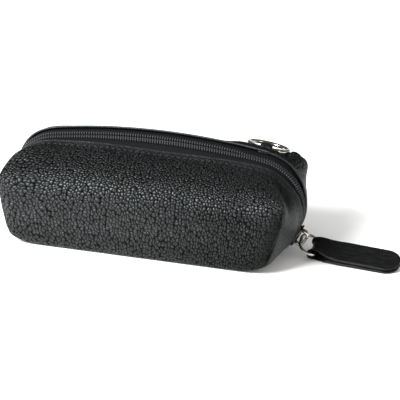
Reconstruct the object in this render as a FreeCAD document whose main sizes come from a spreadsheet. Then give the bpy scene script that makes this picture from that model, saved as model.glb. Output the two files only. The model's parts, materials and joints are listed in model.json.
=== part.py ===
# Zipped leather pen case: a flat base, two half shells that open from it, the zip that joins them,
# its slider with a ring and a leather pull tab, and a hanging ring on the back.
# Millimetres. +X along the case, +Z up, the front faces -Y, origin under the middle of the base.
import math
import os

import FreeCAD
import Part
import Sketcher

doc = FreeCAD.newDocument("PenCase")
sheet = doc.addObject("Spreadsheet::Sheet", "Sizes")

# Driving sizes
DRIVING_SIZES = [
    ("caseLength", 178.0, "length over the zip"),
    ("caseHeight", 61.0, "height of the zip above the base, at the middle"),
    ("caseDepth", 68.0, "front wall to rear wall, outside"),
    ("baseLength", 150.0, "length of the walls at the base"),
    ("creaseLength", 165.0, "length of the walls at the crease"),
    ("creaseHeight", 42.0, "height of the crease between wall and roof"),
    ("creaseBow", 2.5, "how far the crease arches up in the middle"),
    ("archRise", 5.0, "rise of the zip's run between the tops of its ends and its middle"),
    ("endSink", 3.0, "how far the circles of the end runs would pass below the base"),
    ("leatherThickness", 1.4, "leather of the panels"),
    ("boardThickness", 0.9, "stiffening board, and the sewn allowance of the tape"),
    ("liningThickness", 0.6, "lining cloth"),
    ("panelLift", 0.4, "lower edge of the panels above the floor"),
    ("cutPast", 2.0, "how far a cut runs past what it cuts"),
    ("joinGap", 0.4, "room between pieces that move apart"),
    ("seatLift", 0.15, "room under a piece that is sewn on"),
    ("rimSetback", 8.0, "leather edge from the middle of the zip"),
    ("rimRise", 0.4, "leather edge above the line of the zip"),
    ("tapeThickness", 0.8, "zip tape"),
    ("tapeDrop", 1.0, "fall of the tape from the coil to the leather edge"),
    ("seamDepth", 5.0, "tape hidden under the leather"),
    ("coilReach", 3.1, "outer side of a coil row from the middle"),
    ("coilGap", 0.5, "inner side of a coil row from the middle"),
    ("coilHalfHeight", 1.1, "half the height of a coil row"),
    ("baseStack", 1.5, "board inside the base"),
    ("zipFoot", 2.05, "lower end of the zip above the floor"),
    ("sliderSweep", 24.0, "length of the slider, as an angle of the end run"),
    ("tailSweep", 15.0, "end of the zip below the slider, as an angle"),
    ("stopSweep", 6.0, "end of the zip at the far end, as an angle"),
    ("flangeRoom", 0.6, "room between coil and slider flanges"),
    ("plateThickness", 1.0, "slider plates"),
    ("plateRoom", 0.45, "room between coil and plates"),
    ("webHalf", 0.25, "half thickness of the post between the plates"),
    ("bridgeRoom", 0.85, "room round the pull ring in the slider bridge"),
    ("crownLength", 9.2, "slider bridge along the zip"),
    ("crownWidth", 3.0, "slider bridge across the zip"),
    ("crownWall", 1.4, "thickness of the slider bridge"),
    ("pullRingRadius", 5.8, "round ends of the pull ring, to the middle of its wire"),
    ("pullRingSide", 5.0, "straight sides of the pull ring"),
    ("pullRingWire", 0.9, "radius of that wire"),
    ("pullSlide", 2.5, "pull ring and tab to the front of the slider's middle"),
    ("pullPitch", 26.0, "fall of the pull ring from level, degrees"),
    ("pullTilt", 13.0, "lean of the pull ring and tab to the front, degrees"),
    ("tabYaw", 5.0, "swing of the tab to the front, degrees"),
    ("tabLength", 49.0, "pull tab from the ring to its tip"),
    ("tabWidth", 17.0, "pull tab width"),
    ("tabThickness", 2.8, "two layers of leather"),
    ("tabRoom", 1.2, "room round the pull ring in the fold of the tab"),
    ("tabNeck", 10.0, "width of the fold of the tab"),
    ("tabCorner", 7.5, "rounding of the tip of the tab"),
    ("hangRingRadius", 12.0, "middle of the wire of the ring on the back"),
    ("hangRingWire", 1.25, "radius of that wire"),
    ("hangRingInset", 2.5, "ring on the back, from the end of the arch"),
    ("hangRingLift", 18.0, "ring on the back, up from where it would lie on the roof, degrees"),
    ("hangLoopWidth", 7.0, "leather loop of that ring"),
    ("hangLoopRoom", 0.95, "room round the ring in that loop"),
    ("hangLoopReach", 5.5, "that loop from the leather edge, down the roof"),
    ("penLoopRadius", 6.2, "radius inside a pen loop"),
    ("penLoopWidth", 20.0, "width of the elastic"),
    ("elasticThickness", 0.8, "elastic"),
    ("penLoopLift", 1.9, "lower pen loop above the base lining"),
]
for row, (alias, value, note) in enumerate(DRIVING_SIZES, start=1):
    sheet.set("A%d" % row, alias)
    sheet.set("B%d" % row, str(value))
    sheet.set("C%d" % row, note)
    sheet.setAlias("B%d" % row, alias)
doc.recompute()


def size(alias):
    return float(sheet.get(alias))


def cell(text):
    """Write each size named in an expression as a cell of the sheet."""
    aliases = [row[0] for row in DRIVING_SIZES]
    return " ".join("Sizes." + word if word in aliases else word for word in text.split())


# Worked-out values of the zip's run: an arc over each end and a flat arch between them
end_radius = (size("caseHeight") - size("archRise") + size("endSink")) / 2
end_x = size("caseLength") / 2 - end_radius
end_z = end_radius - size("endSink")
top_rise = end_radius + size("archRise")
arch_radius = (end_x**2 + top_rise**2 - end_radius**2) / (2 * size("archRise"))
arch_z = size("caseHeight") - arch_radius
tangent_angle = math.atan2(end_z - arch_z, end_x)
rim_half = end_x + (end_radius + size("rimRise")) * math.cos(tangent_angle)
rim_y = size("rimSetback")

END_RADIUS = "( ( caseHeight - archRise + endSink ) / 2 )"
END_X = f"( caseLength / 2 - {END_RADIUS} )"
END_Z = f"( {END_RADIUS} - endSink )"
TOP_RISE = f"( {END_RADIUS} + archRise )"
ARCH_RADIUS = (
    f"( ( {END_X} * {END_X} + {TOP_RISE} * {TOP_RISE} - {END_RADIUS} * {END_RADIUS} )"
    f" / ( 2 * archRise ) )"
)

# Worked-out sizes of pieces that fit round one another
SLIDER_HALF = "( coilReach + flangeRoom + plateThickness )"
CROWN_HEIGHT = "( 2 * ( pullRingWire + bridgeRoom ) + crownWall )"
TAB_TUNNEL = "( pullRingWire + tabRoom )"
HANG_TUNNEL = "( hangRingWire + hangLoopRoom )"
BASE_TOP = "( leatherThickness + baseStack + liningThickness )"


# Small helpers for bodies and sketches
def new_body(label):
    body = doc.addObject("PartDesign::Body", label)
    body.Label = label
    return body


def add_sketch(body, name, role, offset=None):
    sketch = body.newObject("Sketcher::SketchObject", name)
    plane = [item for item in body.Origin.OriginFeatures if item.Role == role][0]
    sketch.AttachmentSupport = [(plane, "")]
    sketch.MapMode = "FlatFace"
    if offset:
        sketch.setExpression("AttachmentOffset.Base.z", cell(offset))
    return sketch


def constrain(sketch, expression, kind, *places):
    """Bind one measure of a sketch, starting from the value that it is drawn with."""
    if kind == "Radius":
        drawn = sketch.Geometry[places[0]].Radius
    else:
        point = sketch.getPoint(places[2], places[3])
        drawn = point.x if kind == "DistanceX" else point.y
    index = sketch.addConstraint(Sketcher.Constraint(kind, *places, drawn))
    sketch.setExpression("Constraints[%d]" % index, cell(expression))


def place_point(sketch, edge, end, across, up):
    constrain(sketch, across, "DistanceX", -1, 1, edge, end)
    constrain(sketch, up, "DistanceY", -1, 1, edge, end)


def add_polygon(sketch, corners):
    """A closed outline of straight edges, each corner bound to its own two expressions."""
    count = len(corners)
    turns = [2 * math.pi * number / count for number in range(count)]
    points = [FreeCAD.Vector(math.cos(turn), math.sin(turn), 0) for turn in turns]
    for number in range(count):
        sketch.addGeometry(Part.LineSegment(points[number], points[(number + 1) % count]))
    for number in range(count):
        sketch.addConstraint(Sketcher.Constraint("Coincident", number, 2, (number + 1) % count, 1))
    for number, (across, up) in enumerate(corners):
        place_point(sketch, number, 1, across, up)


def add_rectangle(sketch, left, right, low, high):
    add_polygon(sketch, [(left, low), (right, low), (right, high), (left, high)])


def add_circle(sketch, radius, across="0", up="0"):
    index = sketch.addGeometry(
        Part.Circle(FreeCAD.Vector(0.1, 0.1, 0), FreeCAD.Vector(0, 0, 1), 1.0)
    )
    constrain(sketch, radius, "Radius", index)
    place_point(sketch, index, 3, across, up)


def add_pad(body, name, sketch, length, midplane=True, reverse=False):
    pad = body.newObject("PartDesign::Pad", name)
    pad.Profile = sketch
    pad.Midplane = midplane
    pad.Reversed = reverse
    pad.setExpression("Length", cell(length))


def add_through_pocket(body, name, sketch):
    pocket = body.newObject("PartDesign::Pocket", name)
    pocket.Profile = sketch
    pocket.Type = 1
    pocket.Midplane = True


def add_turn(body, name, sketch, angle, kind="Revolution", midplane=True, reverse=False):
    turn = body.newObject("PartDesign::" + kind, name)
    axis = [item for item in body.Origin.OriginFeatures if item.Role == "Y_Axis"][0]
    turn.Profile = sketch
    turn.ReferenceAxis = (axis, [""])
    turn.Midplane = midplane
    turn.Reversed = reverse
    turn.setExpression("Angle", cell(angle))


def round_upright_edges(body, name, radius, chosen):
    """Round the edges along the body's own Z whose middle the test chooses."""
    doc.recompute()
    tip = body.Tip
    names = []
    for number, edge in enumerate(tip.Shape.Edges, start=1):
        ends = [vertex.Point for vertex in edge.Vertexes]
        upright = len(ends) == 2 and math.hypot(ends[0].x - ends[1].x, ends[0].y - ends[1].y) < 1e-6
        if upright and chosen(ends[0]):
            names.append("Edge%d" % number)
    fillet = body.newObject("PartDesign::Fillet", name)
    fillet.Base = (tip, names)
    fillet.setExpression("Radius", cell(radius))


# Half shells: the outline at the leather edge and the outline of the wall, joined by a ruled loft
def add_rim_outline(body, name, offset, inset, inset_value, floor, floor_value):
    sketch = add_sketch(body, name, "XZ_Plane", offset)
    growth = size("rimRise") - inset_value
    radius = end_radius + growth
    low = math.asin((floor_value - end_z) / radius)
    centre = FreeCAD.Vector(end_x, end_z, 0)
    mirrored = FreeCAD.Vector(-end_x, end_z, 0)
    arch_centre = FreeCAD.Vector(0, arch_z, 0)
    up = FreeCAD.Vector(0, 0, 1)
    foot = end_x + radius * math.cos(low)
    sketch.addGeometry(
        Part.LineSegment(FreeCAD.Vector(-foot, floor_value, 0), FreeCAD.Vector(foot, floor_value, 0))
    )
    sketch.addGeometry(Part.ArcOfCircle(Part.Circle(centre, up, radius), low, tangent_angle))
    sketch.addGeometry(
        Part.ArcOfCircle(
            Part.Circle(arch_centre, up, arch_radius + growth), tangent_angle, math.pi - tangent_angle
        )
    )
    sketch.addGeometry(
        Part.ArcOfCircle(Part.Circle(mirrored, up, radius), math.pi - tangent_angle, math.pi - low)
    )
    sketch.addConstraint(Sketcher.Constraint("Coincident", 0, 2, 1, 1))
    sketch.addConstraint(Sketcher.Constraint("Tangent", 1, 2, 2, 1))
    sketch.addConstraint(Sketcher.Constraint("Tangent", 2, 2, 3, 1))
    sketch.addConstraint(Sketcher.Constraint("Coincident", 3, 2, 0, 1))
    sketch.addConstraint(Sketcher.Constraint("Horizontal", 0))
    constrain(sketch, floor, "DistanceY", -1, 1, 0, 1)
    place_point(sketch, 1, 3, END_X, END_Z)
    place_point(sketch, 3, 3, f"0 - {END_X}", END_Z)
    constrain(sketch, f"{END_RADIUS} + rimRise - ( {inset} )", "Radius", 1)
    constrain(sketch, f"{END_RADIUS} + rimRise - ( {inset} )", "Radius", 3)
    constrain(sketch, f"{ARCH_RADIUS} + rimRise - ( {inset} )", "Radius", 2)
    return sketch


def add_wall_outline(body, name, offset, inset, inset_value, floor, floor_value):
    sketch = add_sketch(body, name, "XZ_Plane", offset)
    foot = size("baseLength") / 2 - inset_value
    shoulder = size("creaseLength") / 2 - inset_value
    crease = size("creaseHeight") - inset_value
    bow = size("creaseBow")
    crease_radius = (shoulder**2 + bow**2) / (2 * bow)
    half_turn = math.asin(shoulder / crease_radius)
    corners = [(-foot, floor_value), (foot, floor_value), (shoulder, crease), (-shoulder, crease)]
    points = [FreeCAD.Vector(x, z, 0) for x, z in corners]
    arch = Part.Circle(
        FreeCAD.Vector(0, crease + bow - crease_radius, 0), FreeCAD.Vector(0, 0, 1), crease_radius
    )
    sketch.addGeometry(Part.LineSegment(points[0], points[1]))
    sketch.addGeometry(Part.LineSegment(points[1], points[2]))
    sketch.addGeometry(Part.ArcOfCircle(arch, math.pi / 2 - half_turn, math.pi / 2 + half_turn))
    sketch.addGeometry(Part.LineSegment(points[3], points[0]))
    for edge in range(4):
        sketch.addConstraint(Sketcher.Constraint("Coincident", edge, 2, (edge + 1) % 4, 1))
    half_base = f"( baseLength / 2 - ( {inset} ) )"
    half_crease = f"( creaseLength / 2 - ( {inset} ) )"
    place_point(sketch, 0, 1, f"0 - {half_base}", floor)
    place_point(sketch, 0, 2, half_base, floor)
    place_point(sketch, 1, 2, half_crease, f"creaseHeight - ( {inset} )")
    place_point(sketch, 2, 2, f"0 - {half_crease}", f"creaseHeight - ( {inset} )")
    bow_radius = f"( {half_crease} * {half_crease} + creaseBow * creaseBow ) / ( 2 * creaseBow )"
    constrain(sketch, bow_radius, "Radius", 2)
    return sketch


def add_shell(label, sign, outer, inner, floor):
    """A half shell between two depths under the leather's outside, open at its rim and its foot."""
    body = new_body(label)
    lofts = []
    floor_text = " + ".join(floor)
    floor_value = sum(size(alias) for alias in floor)
    steps = [
        ("Additive", outer, floor_text, floor_value),
        ("Subtractive", inner, f"{floor_text} - joinGap", floor_value - size("joinGap")),
    ]
    for kind, inset, step_floor, step_value in steps:
        inset_text = " + ".join(inset) or "0"
        depths = (inset_text, sum(size(alias) for alias in inset), step_floor, step_value)
        name = f"{label}_{kind}"
        rim = add_rim_outline(body, f"{name}_rim", f"{sign} * rimSetback", *depths)
        wall_place = f"{sign} * ( caseDepth / 2 - ( {inset_text} ) )"
        wall = add_wall_outline(body, f"{name}_wall", wall_place, *depths)
        loft = body.newObject(f"PartDesign::{kind}Loft", f"{name}_loft")
        loft.Profile = rim
        loft.Sections = [wall]
        loft.Ruled = True
        lofts.append(loft)
    return lofts


LEATHER = ["leatherThickness"]
LINING_FACE = ["leatherThickness", "boardThickness"]
LINING_INSIDE = ["leatherThickness", "boardThickness", "liningThickness"]
PANEL_FLOOR = ["panelLift"]
LINING_FLOOR = ["leatherThickness", "joinGap"]
BOARD_MARGIN = "leatherThickness + boardThickness + cutPast"
SIDES = {"front": 1, "rear": -1}

hollows = {}
linings = {}
for side, sign in SIDES.items():
    panel_lofts = add_shell(f"{side}_panel", sign, [], LEATHER, PANEL_FLOOR)
    lining_lofts = add_shell(f"{side}_lining", sign, LINING_FACE, LINING_INSIDE, LINING_FLOOR)
    hollows[side] = panel_lofts[1]
    linings[side] = lining_lofts[0]
    board = new_body(f"{side}_board")
    margin_value = size("leatherThickness") + size("boardThickness") + size("cutPast")
    board_floor = size("leatherThickness") + size("joinGap")
    board_place = f"{sign} * ( caseDepth / 2 - leatherThickness - boardThickness )"
    outline = add_wall_outline(
        board, f"{side}_board_outline", board_place,
        BOARD_MARGIN, margin_value, "leatherThickness + joinGap", board_floor
    )
    add_pad(board, f"{side}_board_pad", outline, "boardThickness", midplane=False, reverse=sign < 0)

# Base: leather, board and lining, lying inside the feet of the half shells
LAYERS_INSIDE = "leatherThickness + boardThickness + liningThickness"
BASE_LAYERS = [
    ("base_panel", "leatherThickness", "panelLift", "0", "leatherThickness"),
    ("base_board", LAYERS_INSIDE, "leatherThickness + joinGap", "leatherThickness", "baseStack"),
    (
        "base_lining", LAYERS_INSIDE, "leatherThickness + joinGap",
        "leatherThickness + baseStack", "liningThickness"
    ),
]
for label, margin, shell_floor, height, thickness in BASE_LAYERS:
    layer = new_body(label)
    outline = add_sketch(layer, f"{label}_outline", "XY_Plane", height)
    radius = f"( {END_RADIUS} + rimRise - ( {margin} ) )"
    depth_below = f"( {END_Z} - ( {shell_floor} ) )"
    foot = f"sqrt( {radius} * {radius} - {depth_below} * {depth_below} )"
    end_half = f"( {END_X} + {foot} - joinGap )"
    wall_half = f"( baseLength / 2 - ( {margin} ) - joinGap )"
    wall_y = f"( caseDepth / 2 - ( {margin} ) - joinGap )"
    quarter = [(wall_half, f"0 - {wall_y}"), (end_half, "0 - rimSetback")]
    right_side = quarter + [(end_half, "rimSetback"), (wall_half, wall_y)]
    left_side = [(f"0 - {across}", up) for across, up in reversed(right_side)]
    add_polygon(outline, right_side + left_side)
    add_pad(layer, f"{label}_pad", outline, thickness, midplane=False)
    round_upright_edges(layer, f"{label}_corners", "cutPast", lambda point: abs(point.y) > rim_y + 1)


# Zip: tape and coil rows follow the run over both ends, so they are cut from lofted outlines
def run_wire(y, growth):
    """Closed outline of the zip's run at one depth, moved outwards by the growth."""
    radius = end_radius + growth
    arch = arch_radius + growth
    low = math.asin((size("panelLift") - end_z) / radius)

    def on_circle(x, z, length, angle):
        return FreeCAD.Vector(x + length * math.cos(angle), y, z + length * math.sin(angle))

    foot = on_circle(end_x, end_z, radius, low)
    side = on_circle(end_x, end_z, radius, (low + tangent_angle) / 2)
    shoulder = on_circle(end_x, end_z, radius, tangent_angle)
    crown = on_circle(0, arch_z, arch, math.pi / 2)
    flip = FreeCAD.Matrix(-1, 0, 0, 0, 0, 1, 0, 0, 0, 0, 1, 0, 0, 0, 0, 1)
    left_foot, left_side, left_shoulder = [flip.multVec(p) for p in (foot, side, shoulder)]
    return Part.Wire(
        [
            Part.makeLine(left_foot, foot),
            Part.Arc(foot, side, shoulder).toShape(),
            Part.Arc(shoulder, crown, left_shoulder).toShape(),
            Part.Arc(left_shoulder, left_side, left_foot).toShape(),
        ]
    )


def run_band(start, end, start_growth, end_growth, thickness):
    """A strip on the zip's run between two depths, with its own fall across and its thickness below."""
    outside = Part.makeLoft([run_wire(start, start_growth), run_wire(end, end_growth)], True, True)
    inside = Part.makeLoft(
        [run_wire(start, start_growth - thickness), run_wire(end, end_growth - thickness)], True, True
    )
    return outside.cut(inside)


def end_cutter(sign, angle):
    """A block that takes away the run below an angle, at one end of the case."""
    reach = size("caseHeight")
    depth = size("caseDepth")
    block = Part.makeBox(reach, depth, reach, FreeCAD.Vector(0, -depth / 2, -reach))
    block.rotate(FreeCAD.Vector(0, 0, 0), FreeCAD.Vector(0, 1, 0), angle)
    if sign < 0:
        block = block.mirror(FreeCAD.Vector(0, 0, 0), FreeCAD.Vector(1, 0, 0))
    block.translate(FreeCAD.Vector(sign * end_x, 0, end_z))
    return block


def floor_cutter():
    reach = size("caseLength")
    depth = size("caseDepth")
    top = size("leatherThickness") + size("joinGap")
    return Part.makeBox(2 * reach, 2 * depth, top, FreeCAD.Vector(-reach, -depth, 0))


def stand_up(loft):
    """The loft's own solid, turned from the plane of its sketches to where it stands."""
    solid = loft.AddSubShape.copy()
    solid.rotate(FreeCAD.Vector(0, 0, 0), FreeCAD.Vector(1, 0, 0), 90)
    return solid


def add_plain(label, shape):
    feature = doc.addObject("Part::Feature", label)
    feature.Label = label
    feature.Shape = shape


half_sweep = size("sliderSweep") / 2
gap_angle = math.degrees(size("joinGap") / end_radius)
run_foot_angle = math.degrees(math.asin((end_z - size("zipFoot")) / end_radius))
slider_angle = run_foot_angle - size("tailSweep") - half_sweep
slider_top = slider_angle - half_sweep - gap_angle
left_foot_angle = run_foot_angle - size("stopSweep")
doc.recompute()
for side, sign in SIDES.items():
    inner = -sign * size("coilGap")
    outer = -sign * size("coilReach")
    rim = -sign * size("rimSetback")
    under = -sign * (size("rimSetback") + size("seamDepth"))
    ends = [end_cutter(1, slider_top), end_cutter(-1, left_foot_angle)]
    tall = 2 * size("coilHalfHeight")
    coil = run_band(inner, outer, size("coilHalfHeight"), size("coilHalfHeight"), tall).cut(ends)
    add_plain(f"{side}_zip_coil", coil.removeSplitter())
    visible = run_band(outer, rim, 0.0, -size("tapeDrop"), size("tapeThickness")).cut(ends)
    low_y, high_y = sorted((rim, under))
    corner = FreeCAD.Vector(-size("caseLength") / 2, low_y, 0)
    zone = Part.makeBox(size("caseLength"), high_y - low_y, size("caseHeight"), corner)
    allowance = stand_up(hollows[side]).cut(stand_up(linings[side])).common(zone).cut(floor_cutter())
    add_plain(f"{side}_zip_tape", visible.fuse(allowance).removeSplitter())


# Pieces turned about the centre of an end run: the body's own Y axis stands there
def place_on_end(body, sign, angle):
    turn = FreeCAD.Rotation(FreeCAD.Vector(0, 1, 0), angle if sign > 0 else 180 - angle)
    body.Placement = FreeCAD.Placement(FreeCAD.Vector(sign * end_x, 0, end_z), turn)


def add_turned_strip(body, name, low, high, left, right, angle, **choices):
    sketch = add_sketch(body, f"{name}_profile", "XY_Plane")
    add_rectangle(sketch, low, high, left, right)
    add_turn(body, name, sketch, angle, **choices)


PLATE_LOW = f"( {END_RADIUS} + coilHalfHeight + plateRoom )"
PLATE_TOP = f"( {PLATE_LOW} + plateThickness )"
PLATE_MIDDLE = f"( {PLATE_LOW} + plateThickness / 2 )"
UNDER_TOP = f"( {END_RADIUS} - coilHalfHeight - plateRoom )"
UNDER_LOW = f"( {UNDER_TOP} - plateThickness )"
UNDER_MIDDLE = f"( {UNDER_TOP} - plateThickness / 2 )"
FLANGE_LOW = f"( {END_RADIUS} + plateRoom )"
plate_top = end_radius + size("coilHalfHeight") + size("plateRoom") + size("plateThickness")

slider = new_body("slider_body")
SLIDER_STRIPS = [
    ("top_plate", PLATE_LOW, PLATE_TOP, f"0 - {SLIDER_HALF}", SLIDER_HALF),
    ("post", UNDER_MIDDLE, PLATE_MIDDLE, "0 - webHalf", "webHalf"),
    ("under_plate", UNDER_LOW, UNDER_TOP, f"0 - {SLIDER_HALF}", SLIDER_HALF),
    ("front_flange", FLANGE_LOW, PLATE_MIDDLE, f"0 - {SLIDER_HALF}", f"plateThickness - {SLIDER_HALF}"),
    ("rear_flange", FLANGE_LOW, PLATE_MIDDLE, f"{SLIDER_HALF} - plateThickness", SLIDER_HALF),
]
for name, low, high, left, right in SLIDER_STRIPS:
    add_turned_strip(slider, name, low, high, left, right, "sliderSweep")
place_on_end(slider, 1, slider_angle)

crown = new_body("slider_bridge")
outline = add_sketch(crown, "bridge_outline", "XZ_Plane")
add_rectangle(outline, UNDER_TOP, f"{PLATE_TOP} + {CROWN_HEIGHT}", "0 - crownLength / 2", "crownLength / 2")
add_pad(crown, "bridge_pad", outline, "crownWidth")
window = add_sketch(crown, "bridge_window", "XZ_Plane")
add_rectangle(
    window, UNDER_LOW, f"{PLATE_TOP} + {CROWN_HEIGHT} - crownWall",
    "crownWall - crownLength / 2", "crownLength / 2 - crownWall"
)
add_through_pocket(crown, "bridge_opening", window)
seat = add_sketch(crown, "bridge_seat", "XZ_Plane")
add_circle(seat, PLATE_TOP)
add_through_pocket(crown, "bridge_foot", seat)
place_on_end(crown, 1, slider_angle)

# Ends of the zip: the fabric under the parked slider and at the far end, with their metal stops
TAPE_INSIDE = f"( {END_RADIUS} - tapeThickness )"
TAB_EDGE = "( rimSetback - joinGap )"
right_tab = new_body("right_end_tab")
tab_band = (TAPE_INSIDE, END_RADIUS, f"0 - {TAB_EDGE}", TAB_EDGE)
add_turned_strip(right_tab, "right_upper", *tab_band, "sliderSweep", midplane=False, reverse=True)
add_turned_strip(right_tab, "right_lower", *tab_band, "tailSweep", midplane=False)
add_turned_strip(
    right_tab, "right_slit", f"{END_RADIUS} - 2 * tapeThickness", f"{END_RADIUS} + tapeThickness",
    "0 - coilGap", "coilGap", "sliderSweep + cutPast", kind="Groove", midplane=False, reverse=True
)
place_on_end(right_tab, 1, slider_angle + half_sweep + gap_angle)

left_tab = new_body("left_end_tab")
add_turned_strip(left_tab, "left_band", *tab_band, "stopSweep - 4 * joinGap")
place_on_end(left_tab, -1, run_foot_angle - size("stopSweep") / 2)


def end_point(sign, angle, radius):
    turn = math.radians(angle)
    return FreeCAD.Vector(sign * (end_x + radius * math.cos(turn)), 0, end_z - radius * math.sin(turn))


def add_stop(label, sign, angle, low, width):
    """A small metal clip on the end fabric, from one depth and as wide as given."""
    stop = doc.addObject("Part::Box", label)
    stop.Label = label
    stop.setExpression("Length", cell("plateThickness"))
    stop.setExpression("Width", cell(width))
    stop.setExpression("Height", cell("tapeThickness * 2"))
    turn = FreeCAD.Rotation(FreeCAD.Vector(0, 1, 0), angle if sign > 0 else 180 - angle)
    half_back = turn.multVec(FreeCAD.Vector(0, low, -size("tapeThickness")))
    stop.Placement = FreeCAD.Placement(end_point(sign, angle, end_radius) + half_back, turn)
    return stop


stop_angle = slider_angle + half_sweep + size("tailSweep") / 2
top_stops = doc.addObject("Part::Compound", "zip_top_stops")
top_stops.Label = "zip_top_stops"
top_stops.Links = [
    add_stop("front_top_stop", 1, stop_angle, -size("coilReach"), "coilReach - coilGap"),
    add_stop("rear_top_stop", 1, stop_angle, size("coilGap"), "coilReach - coilGap"),
]
add_stop("zip_bottom_stop", -1, run_foot_angle - size("stopSweep") / 2, -size("coilReach"), "coilReach * 2")

# Pull: a long wire ring through the slider's bridge, and a leather tab folded round the ring
def ring_shape():
    """Two half rounds and two straight sides, lying flat about the ring's middle."""
    upright = FreeCAD.Vector(0, 0, 1)
    middle = FreeCAD.Vector(0, 0, 0)
    side = size("pullRingSide")
    pieces = []
    for turn in (0, 180):
        bend = Part.makeTorus(size("pullRingRadius"), size("pullRingWire"), middle, upright, 0, 360, 180)
        bend.translate(FreeCAD.Vector(0, side / 2, 0))
        foot = FreeCAD.Vector(size("pullRingRadius"), -side / 2, 0)
        straight = Part.makeCylinder(size("pullRingWire"), side, foot, FreeCAD.Vector(0, 1, 0))
        for piece in (bend, straight):
            piece.rotate(middle, upright, turn)
            pieces.append(piece)
    return pieces[0].fuse(pieces[1:]).removeSplitter()


hole_radius = plate_top + size("pullRingWire") + size("bridgeRoom")
bridge_hole = end_point(1, slider_angle, hole_radius)
lean = FreeCAD.Rotation(FreeCAD.Vector(1, 0, 0), size("pullTilt"))
fall = lean.multiply(FreeCAD.Rotation(FreeCAD.Vector(0, 1, 0), size("pullPitch")))
ring_way = fall.multVec(FreeCAD.Vector(1, 0, 0))
pull_axis = lean.multVec(FreeCAD.Vector(0, 1, 0))
ring_side = bridge_hole - pull_axis * size("pullSlide")
long_ring = ring_shape()
long_ring.Placement = FreeCAD.Placement(ring_side + ring_way * size("pullRingRadius"), fall)
add_plain("pull_ring", long_ring)

pull_tab = new_body("pull_tab")
fold = add_sketch(pull_tab, "tab_fold_outline", "XZ_Plane")
add_circle(fold, f"{TAB_TUNNEL} + tabThickness / 2")
add_pad(pull_tab, "tab_fold", fold, "tabNeck")
neck = add_sketch(pull_tab, "tab_neck_outline", "XY_Plane")
neck_end = f"{TAB_TUNNEL} + tabThickness + tapeThickness"
add_rectangle(neck, "0", neck_end, "0 - tabNeck / 2", "tabNeck / 2")
add_pad(pull_tab, "tab_neck", neck, "tabThickness")
tongue = add_sketch(pull_tab, "tab_tongue_outline", "XY_Plane")
add_rectangle(tongue, f"{TAB_TUNNEL} + tabThickness", "tabLength", "0 - tabWidth / 2", "tabWidth / 2")
add_pad(pull_tab, "tab_tongue", tongue, "tabThickness")
tunnel = add_sketch(pull_tab, "tab_tunnel_outline", "XZ_Plane")
add_circle(tunnel, TAB_TUNNEL)
add_through_pocket(pull_tab, "tab_tunnel", tunnel)
round_upright_edges(pull_tab, "tab_tip", "tabCorner", lambda point: point.x > size("tabLength") - 1)
yaw = FreeCAD.Rotation(FreeCAD.Vector(0, 0, 1), -size("tabYaw"))
tab_start = ring_side + ring_way * (2 * size("pullRingRadius"))
pull_tab.Placement = FreeCAD.Placement(tab_start, lean.multiply(yaw))


# Hanging ring: it rests raised over the rear roof, in a leather loop sewn into the seam beside the zip
def roof_height(x, y):
    """Height of the rear roof, on the straight lines from the leather edge to the crease."""
    spread = size("creaseLength") / 2 / rim_half
    share = (y - size("rimSetback")) / (size("caseDepth") / 2 - size("rimSetback"))
    rim_x = x / (1 + share * (spread - 1))
    rim_z = arch_z + math.sqrt((arch_radius + size("rimRise")) ** 2 - rim_x**2)
    crease_z = size("creaseHeight") + size("creaseBow") * (1 - (rim_x / rim_half) ** 2)
    return rim_z + share * (crease_z - rim_z)


ring_x = rim_half - size("hangRingInset")
past_loop_y = rim_y + 2 * size("hangLoopReach")
slope = math.atan2(roof_height(ring_x, rim_y) - roof_height(ring_x, past_loop_y), past_loop_y - rim_y)
loop_y = rim_y + size("hangLoopReach") / 2
half_loop = size("hangLoopWidth") / 2
end_drop = roof_height(ring_x - half_loop, loop_y) - roof_height(ring_x + half_loop, loop_y)
end_fall = FreeCAD.Rotation(FreeCAD.Vector(0, 1, 0), math.degrees(math.atan2(end_drop, 2 * half_loop)))
down = end_fall.multiply(FreeCAD.Rotation(FreeCAD.Vector(1, 0, 0), -math.degrees(slope)))
loop_seat = FreeCAD.Vector(ring_x, rim_y, roof_height(ring_x, rim_y))
LOOP_OUTSIDE = f"( {HANG_TUNNEL} + leatherThickness )"

hang_loop = new_body("ring_loop")
curl = add_sketch(hang_loop, "loop_outline", "YZ_Plane")
add_circle(curl, LOOP_OUTSIDE, "hangLoopReach", f"{LOOP_OUTSIDE} + seatLift")
add_pad(hang_loop, "loop_curl", curl, "hangLoopWidth")
tail = add_sketch(hang_loop, "loop_tail_outline", "YZ_Plane")
add_rectangle(tail, "seatLift", "hangLoopReach", "seatLift", "leatherThickness + seatLift")
add_pad(hang_loop, "loop_tail", tail, "hangLoopWidth")
eye = add_sketch(hang_loop, "loop_eye_outline", "YZ_Plane")
add_circle(eye, HANG_TUNNEL, "hangLoopReach", f"{LOOP_OUTSIDE} + seatLift")
add_through_pocket(hang_loop, "loop_eye", eye)
hang_loop.Placement = FreeCAD.Placement(loop_seat, down)

loop_rise = size("hangRingWire") + size("hangLoopRoom") + size("leatherThickness") + size("seatLift")
ring_pivot = loop_seat + down.multVec(FreeCAD.Vector(0, size("hangLoopReach"), loop_rise))
far_y = ring_pivot.y + 2 * size("hangRingRadius") * math.cos(slope)
far_rise = (size("hangRingWire") + 2 * size("joinGap")) / math.cos(slope)
far_z = roof_height(ring_x, far_y) + far_rise
ring_fall = math.degrees(math.atan2(ring_pivot.z - far_z, far_y - ring_pivot.y))
lie = end_fall.multiply(FreeCAD.Rotation(FreeCAD.Vector(1, 0, 0), size("hangRingLift") - ring_fall))
hang_ring = doc.addObject("Part::Torus", "hang_ring")
hang_ring.Label = "hang_ring"
hang_ring.setExpression("Radius1", cell("hangRingRadius"))
hang_ring.setExpression("Radius2", cell("hangRingWire"))
hang_centre = ring_pivot + lie.multVec(FreeCAD.Vector(0, size("hangRingRadius"), 0))
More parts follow.
